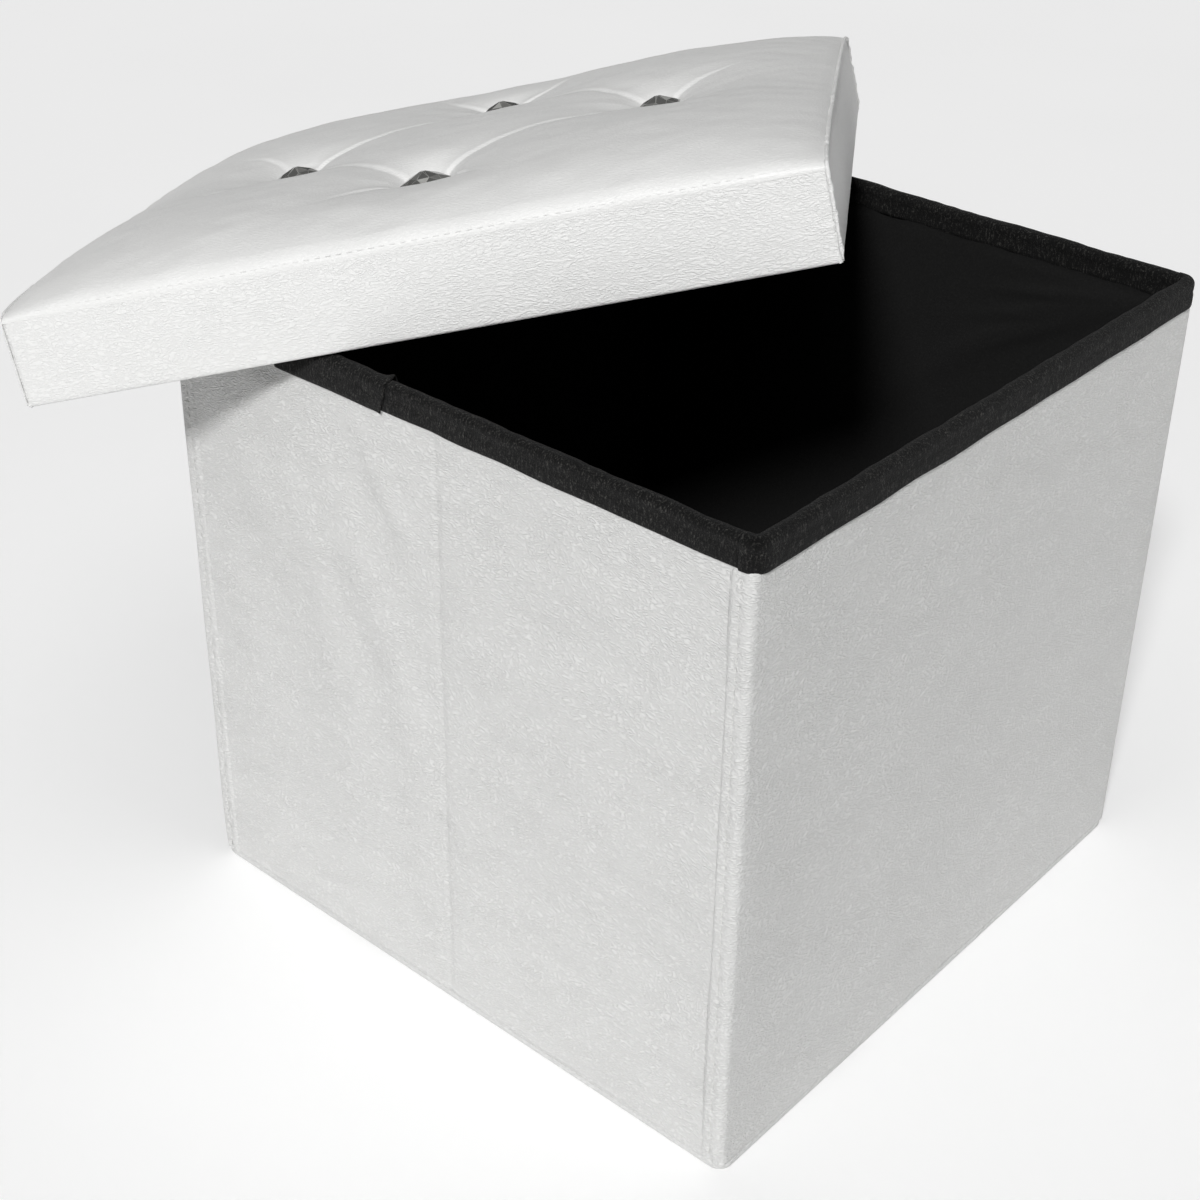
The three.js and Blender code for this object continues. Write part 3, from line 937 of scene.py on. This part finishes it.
# ---- lid: bands, seams, buttons, recess ----
def side_turn(index):
    """The lid's plan turned from its front onto the side with this number."""
    a = index * math.pi / 2
    return np.array([[math.cos(a), -math.sin(a), 0], [math.sin(a), math.cos(a), 0], [0, 0, 1]])


LID_SIDES = ("front", "right", "back", "left")


def puckered(index, s):
    """Share of the puckers at a band's corners: full at the lid's right end, slight at its left."""
    right_end = {0: s > 0, 1: s > -2, 2: s < 0, 3: s > 2}[index]
    return np.where(right_end, 1.0, 0.2)


def make_bands(material):
    for index, side in enumerate(LID_SIDES):
        s = np.linspace(-1, 1, 170)
        turn = np.linspace(math.pi / 2, 0, 5)[:-1]
        r = 1.6 * MM
        up = np.linspace(0, 1, 34)
        low = r * (1 - np.sin(turn))
        curl = np.concatenate([r * (1 - np.cos(turn)), np.zeros(len(up))])
        is_end = index % 2
        top = SEAM + (end_arch(s * LID_HALF) if is_end else 0 * s)
        grid_z = np.vstack([np.repeat(low[:, None], len(s), 1), r + (top - r) * up[:, None]])
        grid_s = np.broadcast_to(s, grid_z.shape)
        rise = np.sin(np.pi * grid_z / top)
        swell = (2.2 if is_end else 0.9) * MM * rise * (1 - grid_s ** 8)
        soft = waves(grid_s * LID_HALF, grid_z, 91 + index, 8, 0.07, 0.9 * MM) * (1 - grid_s ** 10)
        near_corner = np.exp(-(1 - np.abs(grid_s)) * LID_HALF / (6 * MM)) * puckered(index, grid_s)
        pucker = waves(grid_z, grid_s * LID_HALF * 0.3, 95 + index, 9, 0.0055, 1.3 * MM) * near_corner
        out = LID_HALF + swell + np.clip(soft, -0.2 * MM, None) * rise + pucker * rise - curl[:, None]
        local = np.stack([grid_s * LID_HALF, -out, grid_z], -1) @ side_turn(index).T
        points = in_row(local)
        band = sheet("lid_band_" + side, points, material, 0.9 * MM)
        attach(band, "lid")
        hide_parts("lid_leather_" + side)


def swept_tube(name, points, radii, material, sides=8):
    """A closed round tube along a line, with its own radius at each point."""
    points = np.asarray(points, float)
    tangents = np.gradient(points, axis=0)
    tangents /= np.linalg.norm(tangents, axis=1)[:, None]
    normal = np.cross(tangents[0], [0.3, 0.2, 0.93])
    vertices, faces = [], []
    for p, t, r in zip(points, tangents, radii):
        normal = normal - t * (normal @ t)
        normal /= np.linalg.norm(normal)
        other = np.cross(t, normal)
        for k in range(sides):
            a = 2 * math.pi * k / sides
            vertices.append(p + r * (normal * math.cos(a) + other * math.sin(a)))
    for j in range(len(points) - 1):
        for k in range(sides):
            a, b = j * sides + k, j * sides + (k + 1) % sides
            faces.append((a, b, b + sides, a + sides))
    faces.append(tuple(range(sides))[::-1])
    faces.append(tuple((len(points) - 1) * sides + k for k in range(sides)))
    return mesh_object(name, vertices, faces, material)


def end_seam_line():
    """The right end's seam in the lid's frame: up the front corner, over the arched top, and down."""
    h = LID_HALF + 0.25 * MM
    corner_z = np.linspace(1.2 * MM, SEAM, 70)
    y = edge_spaced(220) * (LID_HALF - 0.3 * MM)
    arch = np.stack([np.full_like(y, h), y, SEAM + end_arch(y) + 0.2 * MM], -1)
    up = np.stack([np.full_like(corner_z, h), np.full_like(corner_z, -h), corner_z], -1)
    line = np.vstack([up[:-1], arch, (up * [1, -1, 1])[-2::-1]])
    run = lengths_along(line)
    even = np.linspace(0, run[-1], 420)
    line = at_length(even, run, line)
    return line, even, np.abs(np.abs(line[:, 1]) - h) < 5 * MM


def make_end_seams(material):
    """Each end panel is sewn on with a raised seam, which is straighter and thinner on the left."""
    line, even, on_corner = end_seam_line()
    for side, sign, swing, corner_share in (("right", 1, 1, 1), ("left", -1, 0.25, 0.5)):
        wander = swing * waves(even, even * 0, 7 + sign, 9, 0.006, 1.6 * MM)
        radii = 0.95 * MM + (0.5 * wander + 0.12 * MM) * np.where(on_corner, 1.0, 0.3)
        radii = radii * (0.35 + 0.65 * smoothstep((line[:, 2] - 1.2 * MM) / (5 * MM)))
        radii = radii * np.where(on_corner, corner_share, 1.0)
        path = line + np.stack([even * 0, wander * on_corner, wander * ~on_corner * 0.4], -1)
        seam = swept_tube("lid_seam_" + side, in_row(path * [sign, 1, 1]), radii, material)
        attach(seam, "lid")


def make_edge_stitches():
    """Small sunken stitches along the front and back rolls, just above their seams."""
    over_seam = 2.2 * MM
    s = np.linspace(-LID_HALF + 6 * MM, LID_HALF - 6 * MM, 90)
    ends = END_ARCH + (1 - END_ARCH) * across_profile(s / LID_HALF)
    share = np.clip(over_seam / (COVER_CROWN * ends), 0, 0.95)
    edge = LID_HALF * np.power(1 - share ** (1 / ROLL_ROUNDNESS), 1 / ROLL_SPREAD)
    for side, sign in (("front", -1), ("back", 1)):
        line = np.stack([s, sign * (edge + 0.02 * MM), np.full_like(s, SEAM + over_seam)], -1)
        outwards = np.tile(LID_TURN @ np.array([0, sign, 0.35]), (len(s), 1))
        stitch_line(
            "lid_stitches_" + side, in_row(line), outwards, length=2.8 * MM, pitch=5.0 * MM,
            radius=0.17 * MM, material=leather_lid_painted_lighter, body="lid",
        )


def make_crystals():
    """Pointed round stones: eight-sided, with a girdle and two rings of facets meeting near the tip."""
    count = 8
    # Each ring's share of the radius, height in millimetres, and turn in facets.
    rings = [(1.0, -0.6, 0), (1.0, 0.7, 0), (0.60, 3.5, 0.5), (0.10, 6.0, 0)]
    # Painted reflections: each facet is given a dark, middle or bright tone.
    facet_painted_reflections = (0, 1, 0, 0, 1, 0, 2, 0, 1, 0, 0)
    for index, (side, (bx, by)) in enumerate(BUTTONS.items()):
        vertices = []
        for radius, height, shift in rings:
            for k in range(count):
                a = 2 * math.pi * (k + shift + 0.23 * index) / count
                reach = CRYSTAL_RADIUS * radius
                z = CRYSTAL_BASE + height * MM
                vertices.append((bx + reach * math.cos(a), by + reach * math.sin(a), z))
        faces = [tuple(range(count))[::-1]]
        for r in range(len(rings) - 1):
            here, above = r * count, (r + 1) * count
            for k in range(count):
                k1 = (k + 1) % count
                if rings[r][2] == rings[r + 1][2]:
                    faces.append((here + k, here + k1, above + k1, above + k))
                elif rings[r + 1][2]:
                    faces.append((here + k, here + k1, above + k))
                    faces.append((here + k1, above + k1, above + k))
                else:
                    faces.append((here + k, above + k1, above + k))
                    faces.append((here + k, here + k1, above + k1))
        faces.append(tuple(3 * count + k for k in range(count)))
        stone = mesh_object("crystal_cut_" + side, in_row(vertices), faces, crystal_painted_reflections[0], smooth=False)
        for material in crystal_painted_reflections[1:]:
            stone.data.materials.append(material)
        for k, polygon in enumerate(stone.data.polygons):
            polygon.material_index = facet_painted_reflections[(k * 3 + index) % 11]
        # Painted highlight: the bevelled edges take the bright tone.
        edge = stone.modifiers.new("polished_edges_painted_highlight", "BEVEL")
        edge.width, edge.segments, edge.limit_method = 0.07 * MM, 1, "ANGLE"
        edge.angle_limit, edge.material = math.radians(8), 2
        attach(stone, "lid")
        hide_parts("crystal_" + side)


def make_recess_lining():
    low, high = lid_box("lid_lining")
    bottom, top = low[2] - lid_front_lo[2], high[2] - lid_front_lo[2] - 0.6 * MM
    half = high[0] - 0.6 * MM
    s = np.linspace(-half, half, 90)
    x, y = np.meshgrid(s, s)
    fade = (1 - (x / half) ** 8) * (1 - (y / half) ** 8)
    z = top + 0.25 * MM + waves(x, y, 61, 8, 0.1, 0.5 * MM) * fade
    ceiling = in_row(np.stack([x, y, z], -1)[:, ::-1])
    cloth = sheet("lid_recess_cloth", ceiling, black_felt, 0.3 * MM)
    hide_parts("lid_lining")
    made = [cloth]
    for index, side in enumerate(LID_SIDES):
        grid_s, grid_z = np.meshgrid(np.linspace(-1, 1, 90), np.linspace(bottom, top, 16))
        depth = half + waves(grid_s * half, grid_z, 65 + index, 7, 0.06, 0.4 * MM) * (1 - grid_s ** 8)
        local = np.stack([grid_s * half, -depth, grid_z], -1) @ side_turn(index).T
        points = in_row(local[:, ::-1])
        made.append(sheet("lid_skirt_cloth_" + side, points, black_felt, 0.3 * MM))
    for piece in made:
        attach(piece, "lid")


# ---- CAD nodes that stay ----
def finish_cad_nodes():
    looks = {"core": raw_board, "board": raw_board, "cup": nickel, "washer": nickel, "cover": black_felt}
    for name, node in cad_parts.items():
        for word, material in looks.items():
            if word in name:
                node.data.materials.clear()
                node.data.materials.append(material)


# ---- stage ----
CAMERA_AZIMUTH = -49.48
CAMERA_ELEVATION = 30.36
CAMERA_ROLL = 1.075
CAMERA_DISTANCE = 1.05
CAMERA_TARGET = (-0.0352, 0.0166, 0.2023)
CAMERA_LENS = 60.76
CAMERA_SHIFT = (-0.0124, -0.0456)
KEY_LIGHT = 2.3
FILL_LIGHT = 0.68
WORLD_LIGHT = 0.08
FLOOR_GLOW = 0.09


def direction(azimuth, elevation):
    """Unit vector from the object towards an azimuth and elevation, 0 degrees being in front of it."""
    a, e = math.radians(azimuth), math.radians(elevation)
    return Vector((math.sin(a) * math.cos(e), -math.cos(a) * math.cos(e), math.sin(e)))


def make_camera():
    data = bpy.data.cameras.new("camera")
    data.sensor_width = 36
    data.lens = CAMERA_LENS
    data.shift_x, data.shift_y = CAMERA_SHIFT
    camera = bpy.data.objects.new("camera", data)
    bpy.context.scene.collection.objects.link(camera)
    back = direction(CAMERA_AZIMUTH, CAMERA_ELEVATION)
    turn = (-back).to_track_quat("-Z", "Y").to_matrix() @ Matrix.Rotation(math.radians(CAMERA_ROLL), 3, "Z")
    camera.matrix_world = Matrix.Translation(Vector(CAMERA_TARGET) + back * CAMERA_DISTANCE) @ turn.to_4x4()
    bpy.context.scene.camera = camera
    bpy.context.scene.view_settings.view_transform = "Standard"


def sun_light(name, azimuth, elevation, softness, power):
    data = bpy.data.lights.new(name, "SUN")
    data.angle, data.energy = math.radians(softness), power
    light = bpy.data.objects.new(name, data)
    bpy.context.scene.collection.objects.link(light)
    back = direction(azimuth, elevation)
    light.location = back * 3
    light.rotation_mode = "QUATERNION"
    light.rotation_quaternion = (-back).to_track_quat("-Z", "Y")


def make_stage():
    n = Nodes("pale_floor")
    speck = n.noise(n.position(), 3.0, 2.0)
    n.link(n.mix(speck, (0.94, 0.94, 0.94, 1), (0.97, 0.97, 0.97, 1)), "Base Color")
    n.set(Roughness=0.9, Specular_IOR_Level=0.1)
    n.set(Emission_Color=(1, 1, 1, 1), Emission_Strength=FLOOR_GLOW)
    corners = [(-9, -9, 0), (9, -9, 0), (9, 9, 0), (-9, 9, 0)]
    floor = mesh_object("floor", corners, [(0, 1, 2, 3)], n.material)
    world = bpy.data.worlds.new("studio")
    world.use_nodes = True
    background = world.node_tree.nodes["Background"]
    background.inputs["Color"].default_value = (1, 1, 1, 1)
    background.inputs["Strength"].default_value = WORLD_LIGHT
    bpy.context.scene.world = world
    sun_light("key", azimuth=-65, elevation=41, softness=9, power=KEY_LIGHT)
    sun_light("overhead", azimuth=-60, elevation=80, softness=60, power=FILL_LIGHT)


lid_grain = tuple(Matrix(LID_TURN.T.tolist()).to_euler("XYZ"))
LID_STRETCH = (0.42, 1.0, 1.0)
# Painted light: the cushion and bands use the lighter copy of the leather.
leather_lid_painted_lighter = leather_material("leather_grain_lid_painted_lighter", LID_PAINTED_LIGHTER_WHITE, LID_STRETCH, lid_grain, depth=0.45)
leather_band_painted_lighter = leather_material("leather_grain_band_painted_lighter", LID_PAINTED_LIGHTER_WHITE, LID_STRETCH, lid_grain, depth=0.9)
make_camera()
make_leather()
make_corner_stitches()
make_bindings()
make_linings()
make_base()
make_cushion(leather_lid_painted_lighter)
make_bands(leather_band_painted_lighter)
make_end_seams(leather_band_painted_lighter)
make_edge_stitches()
make_crystals()
make_recess_lining()
finish_cad_nodes()
make_stage()
